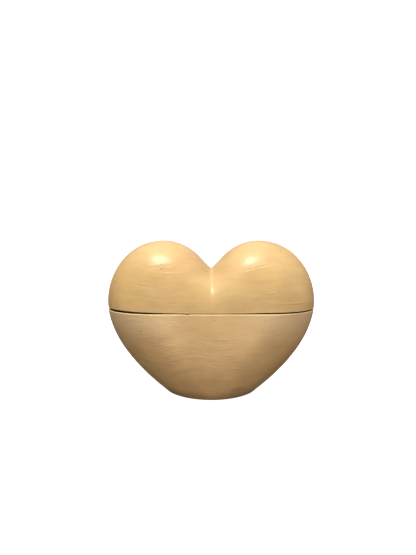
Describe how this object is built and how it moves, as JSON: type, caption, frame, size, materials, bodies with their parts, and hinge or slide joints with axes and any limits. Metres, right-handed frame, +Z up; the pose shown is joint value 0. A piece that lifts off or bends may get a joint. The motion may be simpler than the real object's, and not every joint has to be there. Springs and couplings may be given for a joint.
{
  "type": "trinket box",
  "caption": "Heart-shaped trinket box with two ball-like lobes, standing on its cut-off tip; the domed lid lifts off a hollow base.",
  "frame": {"origin": "centre of the foot's underside", "axes": "+X across the two lobes to the right, -Y to the front, +Z up"},
  "size_m": [0.11, 0.0662, 0.0815],
  "materials": {
    "painted_body": "satin",
    "felt": "matte"
  },
  "bodies": {
    "bowl": {"base": "painted_body", "foot_pad": "felt"},
    "cover": {"lid": "painted_body"}
  },
  "joints": [
    {"name": "lid_lift", "type": "slide", "parent": "bowl", "child": "cover", "axis": [0, 0, 1], "range_m": [0, 0.09]}
  ]
}
